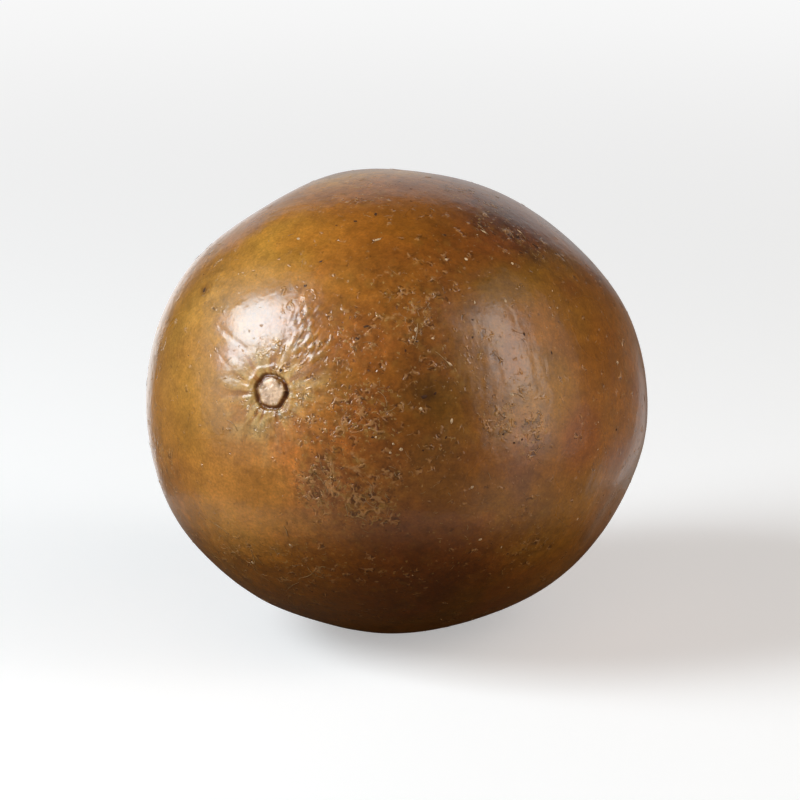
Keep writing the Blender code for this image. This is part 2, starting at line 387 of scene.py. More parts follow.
def hump(x, middle, width):
    """A smooth hump of height 1 and the given width, 0 outside it."""
    offset = np.clip(np.abs(x - middle) / (width / 2), 0, 1)
    return 0.5 + 0.5 * np.cos(math.pi * offset)


def creases(turn, reach, count, start, end):
    """Creases round an end of the fruit, from 0 to 1 deep, strongest a quarter of the way out."""
    out = np.clip((reach - start) / (end - start), 0, 1)
    fade = np.sin(math.pi * np.sqrt(out)) ** 2
    wave = 0.5 + 0.5 * np.cos(count * turn + CREASE_SWERVE * np.sin(2 * turn))
    strength = 1 - CREASE_UNEVENNESS * (0.5 + 0.5 * np.cos(3 * turn))
    return fade * strength * wave ** 2


def stalk_relief(turn, reach):
    """Height of the skin round the cut stalk."""
    groove_middle = STALK_RADIUS + STALK_GROOVE_WIDTH / 2
    lip_middle = GROOVE_END + STALK_LIP_WIDTH / 2
    height = -STALK_HOLLOW_DEPTH * np.exp(-((reach / STALK_HOLLOW_REACH) ** 2))
    height -= STALK_GROOVE_DEPTH * hump(reach, groove_middle, STALK_GROOVE_WIDTH)
    height += STALK_LIP_HEIGHT * hump(reach, lip_middle, STALK_LIP_WIDTH)
    return height - STALK_CREASE_DEPTH * creases(turn, reach, *STALK_CREASES)


def flower_relief(turn, reach):
    """Height of the skin round the scar of the flower."""
    height = -FLOWER_HOLLOW_DEPTH * np.exp(-((reach / FLOWER_HOLLOW_REACH) ** 2))
    height += FLOWER_NUB_HEIGHT * hump(reach, 0, 3 * FLOWER_NUB_RADIUS)
    return height - FLOWER_CREASE_DEPTH * creases(turn, reach, *FLOWER_CREASES)


def toward_skin(turn, polar):
    """Unit vectors from the fruit's middle, in its own axes."""
    return np.stack((np.sin(polar) * np.cos(turn), np.sin(polar) * np.sin(turn), np.cos(polar)), -1)


def body_radius(turn, polar):
    """Distance from the fruit's middle to its skin, without the relief at its two ends."""
    toward = toward_skin(turn, polar)
    shares = np.abs(toward) / (HALF_WIDTH, HALF_HEIGHT, HALF_LENGTH)
    radius = (shares ** FULLNESS).sum(-1) ** (-1 / FULLNESS)
    girth = np.sin(polar)
    radius += LOBE_SWELL * girth ** 3 * np.cos(LOBES * (turn - math.radians(LOBE_TURN)))
    radius += RIB_HEIGHT * girth ** 2 * np.cos(RIBS * turn + RIB_SWERVE * np.sin(3 * turn))
    for longitude, latitude, height, spread in UNEVEN_PLACES:
        off = np.arccos(np.clip(toward @ direction(longitude, latitude), -1, 1))
        radius += height * np.exp(-((off / math.radians(spread)) ** 2))
    return radius


def fine_grid():
    """Turn round the axis and polar angle from the stalk of every grid point, in radians."""
    def reaches(count):
        steps = RING_GROWTH ** np.arange(count)
        return np.cumsum(steps) / steps.sum() * END_REACH

    stalk = reaches(STALK_RINGS) / HALF_LENGTH
    flower = math.pi - reaches(FLOWER_RINGS)[::-1] / HALF_LENGTH
    girth = np.linspace(stalk[-1], flower[0], GIRTH_RINGS + 2)[1:-1]
    turns = np.linspace(0, 2 * math.pi, SEGMENTS, endpoint=False)
    turn, polar = np.meshgrid(turns, np.concatenate((stalk, girth, flower)))
    ends = np.array((0.0, math.pi))
    return np.concatenate((turn.ravel(), np.zeros(2))), np.concatenate((polar.ravel(), ends))


def grid_faces():
    """Quads between the rings, and a fan at each end, whose two tips are the last points."""
    rings = STALK_RINGS + GIRTH_RINGS + FLOWER_RINGS
    i = np.arange(SEGMENTS)
    j = (i + 1) % SEGMENTS
    starts = np.arange(rings - 1)[:, None] * SEGMENTS
    quads = np.stack((starts + i, starts + SEGMENTS + i, starts + SEGMENTS + j, starts + j), -1)
    last = (rings - 1) * SEGMENTS
    stalk_tip = rings * SEGMENTS
    faces = quads.reshape(-1, 4).tolist()
    faces += [(stalk_tip, a, b) for a, b in zip(i.tolist(), j.tolist())]
    faces += [(stalk_tip + 1, last + b, last + a) for a, b in zip(i.tolist(), j.tolist())]
    return faces


def field(points, wavelength, octaves, shift):
    """Smooth noise, from about -1 to 1, whose largest waves have this length in millimetres."""
    return np.array([noise.fractal(p, 1.0, 2.0, octaves) for p in (points / wavelength + shift).tolist()])


def lie_down(points):
    """From the fruit's own axes to the frame's, in millimetres, before it is set on the floor."""
    tilt = math.radians(STALK_TILT)
    along = np.array((0.0, -math.cos(tilt), math.sin(tilt)))
    upward = np.array((0.0, math.sin(tilt), math.cos(tilt)))
    return points[:, :1] * (1, 0, 0) + points[:, 1:2] * upward + points[:, 2:] * along


def skin_tree(mesh):
    """The mesh's surface in millimetres, to find places on it."""
    points = [v.co / METRES for v in mesh.vertices]
    return BVHTree.FromPolygons(points, [tuple(p.vertices) for p in mesh.polygons])


def add_object(name, data):
    added = bpy.data.objects.new(name, data)
    bpy.context.scene.collection.objects.link(added)
    return added


class Photograph:
    """Turns a pixel of the photograph into the place of the solid's skin that it shows."""

    def __init__(self, node):
        self.tree = skin_tree(node.data)
        low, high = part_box(node.name)
        self.middle = Vector((low + high) / 2) / METRES
        self.back = Vector(from_place(CAMERA_AZIMUTH, CAMERA_ELEVATION))
        self.right = Vector(from_place(CAMERA_AZIMUTH + 90, 0))
        self.up = self.back.cross(self.right)
        self.eye = self.middle + self.back * CAMERA_DISTANCE

    def place(self, x, y):
        """The place of the skin that this pixel shows."""
        right = (x - PHOTO_MIDDLE[0]) * PHOTO_SCALE
        up = (PHOTO_MIDDLE[1] - y) * PHOTO_SCALE
        aim = self.middle + self.right * right + self.up * up
        hit = self.tree.ray_cast(self.eye, (aim - self.eye).normalized())[0]
        if hit is None:
            raise ValueError(f"the pixel {x}, {y} is beside the fruit")
        return np.array(hit)

    def facing(self, azimuth, elevation):
        """The place of the skin in the middle of the fruit as seen from this side."""
        way = Vector(from_place(azimuth, elevation))
        return np.array(self.tree.ray_cast(self.middle + way * CAMERA_DISTANCE, -way)[0])

    def heading(self, angle):
        """The way in the picture's plane that runs at this angle from the horizontal, anticlockwise."""
        a = math.radians(angle)
        return self.right * math.cos(a) + self.up * math.sin(a)


def mixed(colours, other, share):
    """Mixes in a share of another colour."""
    return colours + (np.array(other) - colours) * np.clip(share, 0, 1)[:, None]


def hued(colours, other, share):
    """Mixes in another colour's hue and keeps the red, and so about the brightness."""
    other = np.array(other)
    return colours + (other * colours[:, :1] / other[0] - colours) * np.clip(share, 0, 1)[:, None]


def blob(points, centre, spread):
    """1 at the centre, fading out smoothly over the spread, in millimetres."""
    return np.exp(-((np.linalg.norm(points - centre, axis=1) / spread) ** 2))


class Skin:
    """The rind's fine surface, in millimetres, and what its material needs to know at every point."""

    def __init__(self, photo):
        self.photo = photo
        self.pith = photo.place(*PITH)
        self.turn, polar = fine_grid()
        self.reach = HALF_LENGTH * polar
        self.flower_reach = HALF_LENGTH * (math.pi - polar)
        radius = body_radius(self.turn, polar)
        toward = toward_skin(self.turn, polar)
        self.place = toward * radius[:, None]
        flower = flower_relief(self.turn, self.flower_reach)
        relief = stalk_relief(self.turn, self.reach) + flower
        solid = lie_down(toward * (radius + relief)[:, None])
        low, high = (np.array(corner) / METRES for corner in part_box("monk_fruit"))
        offset = (low + high) / 2 - (solid.min(0) + solid.max(0)) / 2
        offset[2] = -solid[:, 2].min() - REST_DEPTH
        self.base = solid + offset
        self.lumps = np.max(self.blobs(LUMP_PATCHES) + self.far_blobs(FAR_LUMPS), axis=0)
        self.billow = np.abs(self.waves(1.0, 2, 60)) * 2.5
        ripple = np.max(self.blobs(RIPPLE_PATCHES) + [smoothstep(self.waves(18.0, 2, 90), 0.05, 0.5)], axis=0)
        self.ripple = ripple * smoothstep(self.reach, 14.0, 24.0)
        scurf = [SCURF_BASE + 0.45 * self.waves(12.0, 3, 50)]
        scurf = np.max(scurf + self.blobs(SCURF_PATCHES) + self.far_blobs(FAR_SCURF), axis=0)
        self.scurf = np.clip(scurf - np.max(self.blobs(SMOOTH_PATCHES), axis=0), 0, 1.6)
        self.edge = self.reach + EDGE_RAGGEDNESS * self.waves(1.3, 3, 600)
        relief = stalk_relief(self.turn, self.edge) + flower + self.fine_relief()
        self.points = lie_down(toward * (radius + relief)[:, None]) + offset
        self.points[:, 2] = np.maximum(self.points[:, 2], 0)

    def waves(self, wavelength, octaves, shift=0.0):
        """Smooth noise at every point of the skin."""
        return field(self.place, wavelength, octaves, shift)

    def blobs(self, patches):
        """Blobs on the skin, each given by its pixel, its spread in pixels and its height."""
        return [h * blob(self.base, self.photo.place(x, y), s * PHOTO_SCALE) for x, y, s, h in patches]

    def far_blobs(self, patches):
        """Blobs on the skin, each given by the side that shows it, its spread and its height."""
        return [h * blob(self.base, self.photo.facing(a, e), s) for a, e, s, h in patches]

    def line(self, x0, y0, x1, y1, width):
        """1 on the line between two pixels' places, fading out over half its width in pixels."""
        first, last = self.photo.place(x0, y0), self.photo.place(x1, y1)
        run = last - first
        share = np.clip((self.base - first) @ run / (run @ run), 0, 1)
        away = np.linalg.norm(self.base - first - share[:, None] * run, axis=1)
        return np.exp(-((away / (width * PHOTO_SCALE / 2)) ** 2))

    def streaks(self):
        """Uneven streaks that run out from the stalk, from about -1 to 1."""
        across, up = np.cos(self.turn) * STREAK_PITCH, np.sin(self.turn) * STREAK_PITCH
        spokes = np.stack((across, up, 0.3 * self.reach), -1)
        return 1.6 * field(spokes + 0.25 * self.waves(3.0, 2, 120)[:, None], 1.0, 3, 140)

    def fine_relief(self):
        """What the solid leaves out: undulations, crumples, lumps, streaks, and the uneven cut stalk."""
        stalk = creases(self.turn, self.reach, *STALK_CREASES)
        flower = creases(self.turn, self.flower_reach, *FLOWER_CREASES)
        lip = hump(self.reach, GROOVE_END + STALK_LIP_WIDTH / 2, STALK_LIP_WIDTH)
        height = WAVE_HEIGHT * self.waves(13.0, 2) + CRUMPLE_HEIGHT * self.waves(3.6, 2, 40)
        height += WRINKLE_HEIGHT * self.waves(1.2, 2, 80)
        height += LUMP_HEIGHT * self.lumps * (self.billow - LUMP_LEVEL)
        height += STALK_CREASE_FILL * STALK_CREASE_DEPTH * stalk
        height += FLOWER_CREASE_FILL * FLOWER_CREASE_DEPTH * flower
        height -= STALK_LIP_CUT * STALK_LIP_HEIGHT * lip
        fade = smoothstep(self.reach, 2.3, 3.5) * (1 - smoothstep(self.reach, 4.5, 9.0))
        height += STREAK_HEIGHT * self.streaks() * fade
        wood = 1 - smoothstep(self.reach, STALK_RADIUS - 0.4, STALK_RADIUS)
        pit = PITH_DEPTH * blob(self.base, self.pith, PITH_RADIUS)
        height += wood * (CUT_UNEVENNESS * self.waves(0.7, 3, 900) - pit)
        height += STALK_DOME * np.clip(1 - (self.reach / STALK_RADIUS) ** 2, 0, 1)
        for rise in self.blobs(SWELLS):
            height += rise
        for *line, depth in FOLDS:
            height -= depth * self.line(*line)
        return height

    def tint(self):
        """Colour of the rind at every point: the roasted browns first, with painted shade on the underside
        and painted rim reflection along the top among them, then what lies over them.
        """
        roast = ROAST_BASE + 0.35 * self.waves(16.0, 4, 7)
        # Some of these patches are painted light: painted shade on the underside and painted rim reflection
        # along the top
        for change in self.blobs(ROAST_AND_PAINTED_LIGHT_PATCHES) + self.far_blobs(FAR_ROAST):
            roast += change
        roast += 0.12 * self.waves(5.0, 3, 30)
        steps = np.arange(len(ROAST_STEPS))
        colours = np.stack([np.interp(roast, steps, channel) for channel in zip(*ROAST_STEPS)], -1)
        colours = mixed(colours, OLIVE, 0.35 * smoothstep(self.waves(13.0, 3, 200), 0.0, 0.7))
        colours = mixed(colours, RUSSET, 0.35 * smoothstep(self.waves(10.0, 3, 300), 0.05, 0.7))
        ragged = 0.35 * self.waves(3.5, 3, 400)
        for x, y, half_width, half_height, colour, share in HUE_PATCHES:
            away = self.base - self.photo.place(x, y)
            across = away @ np.array(self.photo.right) / (half_width * PHOTO_SCALE)
            up = away @ np.array(self.photo.up) / (half_height * PHOTO_SCALE)
            depth = away @ np.array(self.photo.back) / (half_width * PHOTO_SCALE)
            off = np.sqrt(across ** 2 + up ** 2 + 0.3 * depth ** 2)
            colours = hued(colours, colour, share * smoothstep(1.6 - off + ragged, 0.0, 1.0))
        return self.with_ends(self.with_streaks(colours))

    def with_streaks(self, colours):
        """Adds the streaks round both ends, faint pale lines, some of them painted highlight streaks, and
        painted highlight on the lumps' tops and painted shade in their creases.
        """
        swerve = 1.5 * self.waves(2.5, 2, 500)
        halo = 1 - smoothstep(self.reach + swerve, 2.5, 8.5)
        halo += 0.6 * (1 - smoothstep(self.flower_reach + swerve, 2.5, 7.0))
        streaks = self.streaks()
        colours = mixed(colours, PALE, halo * (0.34 + 0.6 * streaks))
        colours = mixed(colours, AMBER, 0.6 * halo * smoothstep(-streaks, 0.1, 0.8))
        faintness = 1.0 + self.waves(1.0, 2, 800)
        # Some of these lines are painted highlight streaks
        for *line, share in PALE_LINES_AND_HIGHLIGHT_STREAKS:
            colours = mixed(colours, STRAW, share * self.line(*line) * faintness)
        # Painted highlight and shade: the lumps' tops are painted paler and the creases between them darker
        colours = mixed(colours, STRAW, 0.5 * self.lumps * smoothstep(self.billow, 0.6, 1.4))
        return mixed(colours, UMBER, 0.45 * self.lumps * (1 - smoothstep(self.billow, 0.0, 0.35)))

    def with_ends(self, colours):
        """Adds the pale cut stalk with its groove and pith, and the flower's nub in a ring of painted shade.
        """
        groove = smoothstep(self.edge, STALK_RADIUS - 0.25, STALK_RADIUS + 0.05)
        outside = GROOVE_END + 0.15 + 0.3 * self.waves(1.0, 2, 650)
        groove *= 1 - smoothstep(self.edge, GROOVE_END - 0.35, outside)
        colours = mixed(colours, DARK_RING, groove * (0.9 + 0.3 * self.waves(0.8, 2, 660)))
        wood = 1 - smoothstep(self.edge, STALK_RADIUS - 0.35, STALK_RADIUS - 0.10)
        cut = np.tile(CUT_WOOD, (len(wood), 1))
        cut = mixed(cut, RUSSET, 0.3 * smoothstep(self.waves(0.6, 3, 950), 0.0, 0.5))
        # A dark spot over the pith's hollow
        cut = mixed(cut, UMBER, blob(self.base, self.pith, PITH_DARK_RADIUS))
        colours += (cut - colours) * wood[:, None]
        nub = 1 - smoothstep(self.flower_reach + 0.3 * self.waves(1.5, 2, 700), 1.2, 1.8)
        # Painted shade: a dark ring in the hollow round the flower's nub
        ring = hump(self.flower_reach, 2.1, 2.4)
        colours = mixed(colours, UMBER, ring * (0.7 + 0.4 * self.waves(1.2, 2, 720)))
        return mixed(colours, STRAW, 0.8 * nub)

    def make(self):
        """The skin as an object, with what its material reads stored at every point."""
        mesh = bpy.data.meshes.new("rind_skin")
        mesh.from_pydata((self.points * METRES).tolist(), [], grid_faces())
        mesh.shade_smooth()
        tint = np.concatenate((self.tint(), np.ones((len(self.turn), 1))), 1)
        cut = 1 - smoothstep(self.edge, STALK_RADIUS - 0.2, STALK_RADIUS)
        for name, kind, key, values in (
            ("tint", "FLOAT_COLOR", "color", tint.ravel()),
            ("place", "FLOAT_VECTOR", "vector", self.place.ravel()),
            ("scurf", "FLOAT", "value", self.scurf),
            ("ripple", "FLOAT", "value", self.ripple),
            ("cut", "FLOAT", "value", cut),
        ):
            mesh.attributes.new(name, kind, "POINT").data.foreach_set(key, values)
        return add_object("rind_skin", mesh)


class Nodes:
    """Adds nodes to a tree. A value is a number, a vector, a colour or another node's output."""

    def __init__(self, tree):
        self.tree = tree

    def add(self, kind, inputs, **settings):
        node = self.tree.nodes.new("ShaderNode" + kind)
        for name, value in settings.items():
            setattr(node, name, value)
        for name, value in inputs.items():
            self.put(node.inputs[name], value)
        return node

    def put(self, socket, value):
        if isinstance(value, bpy.types.NodeSocket):
            self.tree.links.new(value, socket)
        else:
            socket.default_value = value

    def attribute(self, name, output):
        return self.add("Attribute", {}, attribute_name=name).outputs[output]

    def math(self, operation, first, second):
        return self.add("Math", {0: first, 1: second}, operation=operation).outputs[0]

    def times(self, first, second):
        return self.math("MULTIPLY", first, second)

    def plus(self, first, second):
        return self.math("ADD", first, second)

    def minus(self, first, second):
        return self.math("SUBTRACT", first, second)

    def vector(self, operation, first, second):
        return self.add("VectorMath", {0: first, 1: second}, operation=operation).outputs[0]

    def scaled(self, vector, factor):
        return self.add("VectorMath", {0: vector, "Scale": factor}, operation="SCALE").outputs[0]

    def distance(self):
        """Distance from the object's origin, in metres."""
        where = self.add("TexCoord", {}).outputs["Object"]
        return self.add("VectorMath", {0: where}, operation="LENGTH").outputs["Value"]

    def noise(self, vector, size, detail=3.0, roughness=0.5):
        """Noise from 0 to 1 whose largest grains have this size in the vector's own units."""
        inputs = {"Vector": vector, "Scale": 1 / size, "Detail": detail, "Roughness": roughness}
        return self.add("TexNoise", inputs).outputs["Fac"]

    def bent(self, vector, size, amount):
        """The vector, moved about by noise of this size, by up to about half the amount, in millimetres."""
        inputs = {"Vector": vector, "Scale": 1 / size, "Detail": 2.0}
        way = self.add("TexNoise", inputs).outputs["Color"]
        inputs = {0: way, 1: (amount, amount, amount), 2: vector}
        return self.add("VectorMath", inputs, operation="MULTIPLY_ADD").outputs[0]

    def borders(self, vector, size):
        """Distance to the nearest border between cells of this size, in millimetres."""
        inputs = {"Vector": vector, "Scale": 1 / size}
        distance = self.add("TexVoronoi", inputs, feature="DISTANCE_TO_EDGE").outputs["Distance"]
        return self.times(distance, size)

    def ramp(self, value, low, high, start=0.0, end=1.0, kind="SMOOTHSTEP"):
        """Goes from start to end as the value goes from low to high."""
        inputs = {"Value": value, "From Min": low, "From Max": high, "To Min": start, "To Max": end}
        return self.add("MapRange", inputs, interpolation_type=kind).outputs["Result"]

    def spread(self, value, amount):
        """Turns noise round a half into a factor round one, that varies by about a quarter of the amount."""
        centred = self.minus(value, 0.5)
        return self.plus(self.times(centred, self.times(amount, 2.0)), 1.0)

    def above(self, value, level, softness):
        """0 where the value is under the level, rising to 1 over the softness."""
        return self.ramp(self.minus(value, level), 0.0, softness)

    def mix(self, share, first, second):
        """Goes from the first colour to the second as the share rises."""
        node = self.add("Mix", {}, data_type="RGBA")
        factor, colour_a, colour_b, result = 0, 6, 7, 2
        self.put(node.inputs[factor], share)
        self.put(node.inputs[colour_a], first)
        self.put(node.inputs[colour_b], second)
        return node.outputs[result]


class Shading(Nodes):
    """The nodes of a new material."""

    def __init__(self, name):
        self.material = bpy.data.materials.new(name)
        self.material.use_nodes = True
        super().__init__(self.material.node_tree)

    def finish(self, **inputs):
        """Sets or links the shader's own sockets, and returns the material."""
        shader = self.tree.nodes["Principled BSDF"]
        for name, value in inputs.items():
            self.put(shader.inputs[name.replace("_", " ")], value)
        return self.material


def rind_material():
    """Satin rind: mottled, with a leathery grain, pale scurf, curled ridges with painted shade beside them,
    and dark flecks and pores.
    """
    rind = Shading("rind_skin")
    place = rind.attribute("place", "Vector")
    scurf = rind.attribute("scurf", "Fac")
    elsewhere = rind.vector("ADD", place, (37.0, 11.0, 53.0))
    lengthwise = rind.vector("MULTIPLY", place, (1.0, 1.0, 0.15))
    crosswise = rind.vector("MULTIPLY", place, (0.25, 0.25, 1.0))

    def by_scurf(clean, scurfy, low=0.0, high=1.0):
        """Goes from one value on clean skin to another on scurfy skin."""
        return rind.ramp(scurf, low, high, clean, scurfy, "LINEAR")

    mottle = rind.spread(rind.noise(place, 2.8, 5.0, 0.62), by_scurf(0.4, 0.6))
    leather = rind.spread(rind.noise(place, 1.0, 4.0, 0.6), by_scurf(0.3, 1.0))
    grain = rind.spread(rind.noise(place, 0.3, 2.0), 0.4)
    streak = rind.spread(rind.noise(lengthwise, 1.3, 2.0), 0.2)
    tone = rind.times(rind.times(mottle, leather), rind.times(grain, streak))
    pale_stain = rind.times(rind.ramp(rind.noise(elsewhere, 1.7, 3.0, 0.6), 0.52, 0.70), scurf)
    dark_stain = rind.times(rind.ramp(rind.noise(place, 2.1, 4.0, 0.65), 0.54, 0.72), scurf)
    flake = rind.above(rind.noise(elsewhere, 0.5, 2.0, 0.55), by_scurf(0.72, 0.57), 0.07)
    fleck = rind.above(rind.noise(place, 0.5, 2.0, 0.55), by_scurf(0.74, 0.60), 0.06)

    # Curled ridges are the borders of cells on bent places, broken up by noise, with a trough beside each
    # that is painted darker as shade
    border = rind.borders(rind.bent(place, 1.2, 2.2), 1.35)
    broken = rind.above(rind.noise(elsewhere, 1.3, 2.0, 0.55), by_scurf(0.615, 0.42, 0.20, 1.4), 0.13)
    crest = rind.times(rind.ramp(border, 0.19, 0.02), broken)
    trough_shade = rind.times(rind.ramp(border, 0.14, 0.24), rind.ramp(border, 0.50, 0.28))
    trough_shade = rind.times(trough_shade, broken)

    colour = rind.scaled(rind.attribute("tint", "Color"), tone)
    for other, pattern, share in (
        (TAN, pale_stain, 0.45),
        (UMBER, dark_stain, 0.22),
        (STRAW, flake, 0.5),
        (UMBER, fleck, 0.5),
        (FLESH, crest, 0.62),
    ):
        colour = rind.mix(rind.times(pattern, share), colour, (*other, 1.0))
    # Painted shade: the skin beside each ridge is darkened
    colour = rind.scaled(colour, rind.minus(1.0, rind.times(trough_shade, 0.52)))

    # Bump, in millimetres
    bump = rind.times(rind.noise(place, 0.45, 3.0, 0.55), 0.016)
    bump = rind.plus(bump, rind.times(crest, 0.050))
    bump = rind.minus(bump, rind.times(trough_shade, 0.012))
    bump = rind.plus(bump, rind.times(rind.noise(place, 1.5, 2.0), 0.05))
    ripple = rind.times(rind.attribute("ripple", "Fac"), 0.11)
    bump = rind.plus(bump, rind.times(rind.noise(crosswise, 1.4, 2.0), ripple))
    bump = rind.plus(bump, rind.times(flake, 0.02))
    bump = rind.minus(bump, rind.times(fleck, 0.015))
    normal = rind.add("Bump", {"Height": bump, "Distance": METRES, "Strength": 1.0}).outputs[0]

    dull = rind.plus(by_scurf(0.27, 0.36), rind.times(fleck, 0.2))
    dull = rind.plus(dull, rind.times(rind.attribute("cut", "Fac"), 0.35))
    return rind.finish(
        Base_Color=colour, Roughness=dull, Normal=normal, Coat_Normal=normal,
        Coat_Weight=0.6, Coat_Roughness=0.13, IOR=1.48
    )


def plain_material(name, colour, roughness, coat):
    """A matte or waxy finish with a fine, uneven tone."""
    shading = Shading(name)
    where = shading.add("TexCoord", {}).outputs["Object"]
    tone = shading.ramp(shading.noise(where, 0.4 * METRES, 2.0), 0.3, 0.7, 0.7, 1.3, "LINEAR")
    return shading.finish(
        Base_Color=shading.scaled(colour, tone), Roughness=roughness, Coat_Weight=coat, Coat_Roughness=0.3
    )


def along_skin(heading, normal):
    """The part of a heading that lies in the skin, with length 1."""
    return (heading - normal * heading.dot(normal)).normalized()


class Builder:
    """Collects the points and faces of one piece that lies on the skin."""

    def __init__(self, mesh, seed):
        self.tree = skin_tree(mesh)
        self.random = random.Random(seed)
        self.points = []
        self.faces = []

    def ground(self, point):
        """The nearest place of the skin, and its normal."""
        spot, normal = self.tree.find_nearest(Vector(point))[:2]
        return spot, normal

    def any_way(self):
        """A vector that points in any direction."""
        return Vector([self.random.gauss(0, 1) for _ in range(3)])

    def anywhere(self):
        """A random place all round the fruit, above its resting spot."""
        while True:
            way = self.any_way()
            if way.length > 0.01:
                spot, normal = self.ground(way.normalized() * OUTSIDE + Vector((0, 0, MIDDLE_HEIGHT)))
                if spot.z > LOWEST_MARK:
                    return spot, normal

    def near(self, centre, spread):
        """A random place within about the spread of the centre."""
        way = Vector([self.random.gauss(0, 0.6) * spread for _ in range(3)])
        return self.ground(Vector(centre) + way)

    def patch(self, centre, half_long, half_wide, heading, height):
        """A small irregular patch that swells from the skin. Its heading is the way that its length runs."""
        spot, normal = self.ground(centre)
        along = along_skin(heading, normal)
        side = normal.cross(along)
        start = len(self.points)
        uneven = [self.random.uniform(0.78, 1.18) for _ in range(MARK_CORNERS)]
        self.points.append(spot + normal * height)
        for share, rise in ((0.6, 0.75 * height), (1.0, -MARK_ROOT)):
            for i in range(MARK_CORNERS):
                turn = 2 * math.pi * i / MARK_CORNERS
                out = share * uneven[i]
                long, wide = half_long * out * math.cos(turn), half_wide * out * math.sin(turn)
                foot, up = self.ground(spot + along * long + side * wide)
                self.points.append(foot + up * rise)
        inner = start + 1
        outer = inner + MARK_CORNERS
        for i in range(MARK_CORNERS):
            j = (i + 1) % MARK_CORNERS
            self.faces.append((start, inner + i, inner + j))
            self.faces.append((inner + i, outer + i, outer + j, inner + j))
        self.faces.append(tuple(outer + i for i in reversed(range(MARK_CORNERS))))

    def hair(self, spot, normal):
        """A fine curved hair that lies on the skin, with its end a little raised."""
        length = self.random.uniform(*HAIR_LENGTHS)
        thick = self.random.uniform(*HAIR_THICKNESSES)
        bend = self.random.gauss(0, HAIR_BEND)
        lift = self.random.uniform(0.0, HAIR_LIFT)
        heading = along_skin(self.any_way(), normal)
        steps = HAIR_POINTS - 1
        path = []
        for i in range(HAIR_POINTS):
            path.append((spot, normal, lift * (i / steps) ** 2))
            side = normal.cross(heading)
            spot, normal = self.ground(spot + heading * (length / steps))
            heading = along_skin(heading + side * (bend * length / steps), normal)
        self.thread(path, thick)

    def fibre(self, first, last, sag, thick):
        """A stiffer fibre between two places of the skin, whose middle sags to one side."""
        run = last - first
        side = self.ground((first + last) / 2)[1].cross(run).normalized()
        path = []
        for i in range(FIBRE_POINTS):
            share = i / (FIBRE_POINTS - 1)
            spot, normal = self.ground(first + run * share + side * (sag * 4 * share * (1 - share)))
            path.append((spot, normal, 0.0))
        self.thread(path, thick)

    def thread(self, path, thick):
        """A three-sided thread, thinner at its ends, along places given with their normal and rise."""
        start = len(self.points)
        last = len(path) - 1
        for i, (spot, normal, rise) in enumerate(path):
            ahead = path[min(i + 1, last)][0] - path[max(i - 1, 0)][0]
            side = normal.cross(ahead).normalized()
            wide = thick * (0.45 + 0.55 * math.sin(math.pi * (0.12 + 0.76 * i / last)))
            middle = spot + normal * (rise + 0.4 * thick)
            for k in range(3):
                turn = math.pi / 6 + 2 * math.pi * k / 3
                self.points.append(middle + side * (wide * math.cos(turn)) + normal * (wide * math.sin(turn)))
        for i in range(last):
            low = start + 3 * i
            for k in range(3):
                m = (k + 1) % 3
                self.faces.append((low + k, low + m, low + 3 + m, low + 3 + k))
        self.faces.append((start + 2, start + 1, start))
        end = start + 3 * last
        self.faces.append((end, end + 1, end + 2))

    def make(self, name, material):
        mesh = bpy.data.meshes.new(name)
        mesh.from_pydata([tuple(p * METRES) for p in self.points], [], self.faces)
        mesh.shade_smooth()
        mesh.set_sharp_from_angle(angle=math.radians(SHARP_FOLD))
        mesh.materials.append(material)
        piece = add_object(name, mesh)
        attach(piece, "root")


def add_marks(mesh, photo, name, seed, placed, lone, height, material):
    """The marks that the photograph shows, and lone ones all round the fruit."""
    builder = Builder(mesh, seed)
    for x, y, half_long, half_wide, angle in placed:
        long, wide = (MARK_SHRINK * half * PHOTO_SCALE for half in (half_long, half_wide))
        builder.patch(photo.place(x, y), long, wide, photo.heading(angle), height)
    for _ in range(lone):
        spot, normal = builder.anywhere()
        size = 0.1 + 0.25 * builder.random.random() ** 3
        heading = builder.any_way()
        builder.patch(spot, size, size * builder.random.uniform(0.5, 1.0), heading, height * 0.8)
    builder.make(name, material)


def add_hairs(mesh, photo):
    """Clusters of hairs, lone hairs all round the fruit, and the stiffer fibres."""
    builder = Builder(mesh, HAIR_SEED)
    for x, y, spread, count in HAIR_PATCHES:
        centre = photo.place(x, y)
        for _ in range(count // 2):
            builder.hair(*builder.near(centre, spread * PHOTO_SCALE))
    for _ in range(LONE_HAIRS):
        builder.hair(*builder.anywhere())
    for x0, y0, x1, y1, sag in FIBRES:
        first, last = Vector(photo.place(x0, y0)), Vector(photo.place(x1, y1))
        builder.fibre(first, last, sag * PHOTO_SCALE, builder.random.uniform(*FIBRE_THICKNESSES))
    builder.make("skin_hairs", plain_material("hair", HAIR_COLOUR, 0.5, 0.2))


def add_disc(name, radius):
    bm = bmesh.new()
    bmesh.ops.create_circle(bm, cap_ends=True, segments=96, radius=radius * METRES)
    mesh = bpy.data.meshes.new(name)
    bm.to_mesh(mesh)
    bm.free()
    disc = add_object(name, mesh)
    return disc


def add_floor():
    """A pale floor that only the camera sees. Far away it fades into the backdrop."""
    floor = add_disc("floor", FLOOR_RADIUS)
    shading = Shading("floor")
    away = shading.distance()
    near, far = (reach * METRES for reach in FLOOR_FADE)
    tone = shading.mix(shading.ramp(away, near, far), (*FLOOR, 1.0), (0.0, 0.0, 0.0, 1.0))
    glow = shading.ramp(away, near, far, FLOOR_GLOW, FLOOR_FAR_GLOW)
    material = shading.finish(
        Base_Color=tone, Roughness=0.8, Specular_IOR_Level=0.0,
        Emission_Color=(*WHITE, 1.0), Emission_Strength=glow
    )
    floor.data.materials.append(material)
    floor.visible_diffuse = False
    floor.visible_glossy = False
    floor.visible_shadow = False


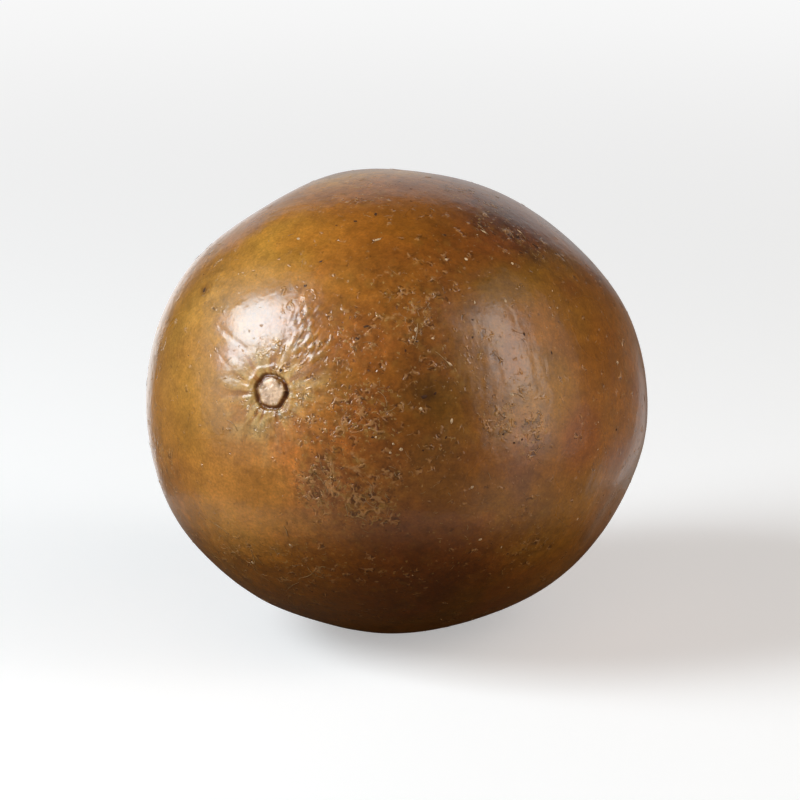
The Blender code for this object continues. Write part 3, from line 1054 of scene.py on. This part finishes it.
def add_ground():
    """A small ground just under the floor that only the fruit sees, dark where the fruit shades it."""
    ground = add_disc("ground", GROUND_RADIUS)
    shading = Shading("ground")
    near, far = (reach * METRES for reach in GROUND_SHADE)
    share = shading.ramp(shading.distance(), near, far)
    tone = shading.mix(share, (*SHADED_GROUND, 1.0), (*GROUND, 1.0))
    ground.data.materials.append(shading.finish(Base_Color=tone, Roughness=0.8))
    ground.location.z = -GROUND_DROP * METRES
    ground.visible_camera = False
    ground.visible_shadow = False


def add_light(name, azimuth, elevation, width, height, roll, radiance, colour, distance):
    """A softbox that faces the fruit."""
    data = bpy.data.lights.new(name, "AREA")
    data.shape = "RECTANGLE"
    data.size = 2 * distance * METRES * math.tan(math.radians(width / 2))
    data.size_y = 2 * distance * METRES * math.tan(math.radians(height / 2))
    data.energy = radiance * math.pi * data.size * data.size_y
    data.color = colour
    light = add_object(name, data)
    toward = Vector(from_place(azimuth, elevation))
    light.location = toward * distance * METRES + Vector((0, 0, MIDDLE_HEIGHT * METRES))
    light.rotation_mode = "QUATERNION"
    light.rotation_quaternion = toward.to_track_quat("Z", "Y") @ Quaternion((0, 0, 1), math.radians(roll))
    return light


def add_lights():
    """All softboxes. One makes reflections alone, and one lights the skin without a reflection."""
    lights = {name: add_light(name, *settings) for name, *settings in LIGHTS}
    lights["key_glow"].visible_diffuse = False
    lights["soft_fill"].visible_glossy = False


def add_world():
    """A pale backdrop for the camera, and for the fruit a dim room with bright places in it."""
    world = bpy.data.worlds.new("studio")
    bpy.context.scene.world = world
    world.use_nodes = True
    nodes = Nodes(world.node_tree)
    nodes.tree.nodes.clear()
    toward = nodes.add("TexCoord", {}).outputs["Generated"]
    height = nodes.add("SeparateXYZ", {0: toward}).outputs["Z"]
    light = nodes.mix(nodes.ramp(height, *CEILING_HEIGHTS), (*ROOM_LIGHT, 1), (*CEILING_LIGHT, 1))
    light = nodes.mix(nodes.ramp(height, *LOW_HEIGHTS), light, (*LOW_LIGHT, 1))
    for azimuth, elevation, begin, full, colour in GLOWS:
        inputs = {0: toward, 1: tuple(from_place(azimuth, elevation))}
        facing = nodes.add("VectorMath", inputs, operation="DOT_PRODUCT").outputs["Value"]
        share = nodes.ramp(facing, math.cos(math.radians(begin)), math.cos(math.radians(full)))
        light = nodes.mix(share, light, (*colour, 1))
    lit = nodes.add("Background", {"Color": light}).outputs[0]
    seen = nodes.add("Background", {"Color": (*BACKDROP, 1)}).outputs[0]
    camera = nodes.add("LightPath", {}).outputs["Is Camera Ray"]
    both = nodes.add("MixShader", {0: camera, 1: lit, 2: seen}).outputs[0]
    nodes.add("OutputWorld", {"Surface": both})


def add_camera(photo):
    data = bpy.data.cameras.new("camera")
    data.lens = CAMERA_LENS
    camera = add_object("camera", data)
    camera.location = photo.eye * METRES
    camera.rotation_mode = "QUATERNION"
    camera.rotation_quaternion = photo.back.to_track_quat("Z", "Y")
    bpy.context.scene.camera = camera


photo = Photograph(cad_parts["monk_fruit"])
skin = Skin(photo).make()
skin.data.materials.append(rind_material())
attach(skin, "root")
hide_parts("monk_fruit")
scab_finish = plain_material("scab", SCAB_COLOUR, 0.8, 0.0)
speck_finish = plain_material("speck", SPECK_COLOUR, 0.45, 0.3)
add_marks(skin.data, photo, "dark_scabs", SCAB_SEED, SCABS, LONE_SCABS, SCAB_HEIGHT, scab_finish)
add_marks(skin.data, photo, "pale_specks", SPECK_SEED, SPECKS, LONE_SPECKS, SPECK_HEIGHT, speck_finish)
add_hairs(skin.data, photo)

add_camera(photo)
add_floor()
add_ground()
add_lights()
add_world()
bpy.context.scene.view_settings.view_transform = "Standard"
